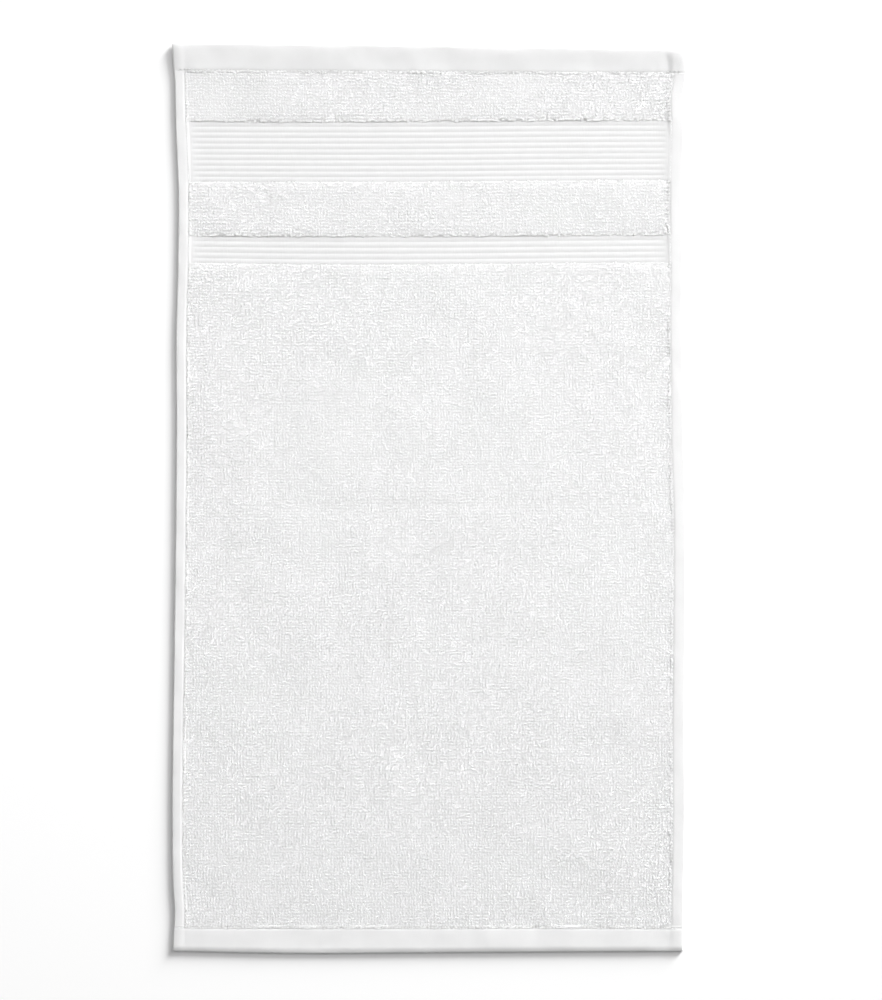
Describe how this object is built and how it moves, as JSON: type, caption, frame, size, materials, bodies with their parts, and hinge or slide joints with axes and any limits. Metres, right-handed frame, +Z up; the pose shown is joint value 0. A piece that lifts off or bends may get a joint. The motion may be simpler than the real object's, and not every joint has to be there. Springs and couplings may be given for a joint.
{
  "type": "bath towel",
  "caption": "White cotton terry towel lying flat, with sewn hems on all sides and two woven rib borders near one end.",
  "frame": {"origin": "centre of the towel's outline on the surface that it lies on", "axes": "+Z up out of the face that shows, +Y along the length towards the end with the rib borders, +X across the width"},
  "size_m": [0.5054, 0.8934, 0.0055],
  "materials": {
    "cotton_terry": "bleached white cotton: looped pile on the field, flat woven ribs on the borders and plain weave on the hems, matt"
  },
  "bodies": {
    "root": {"towel": "cotton_terry"}
  },
  "joints": []
}
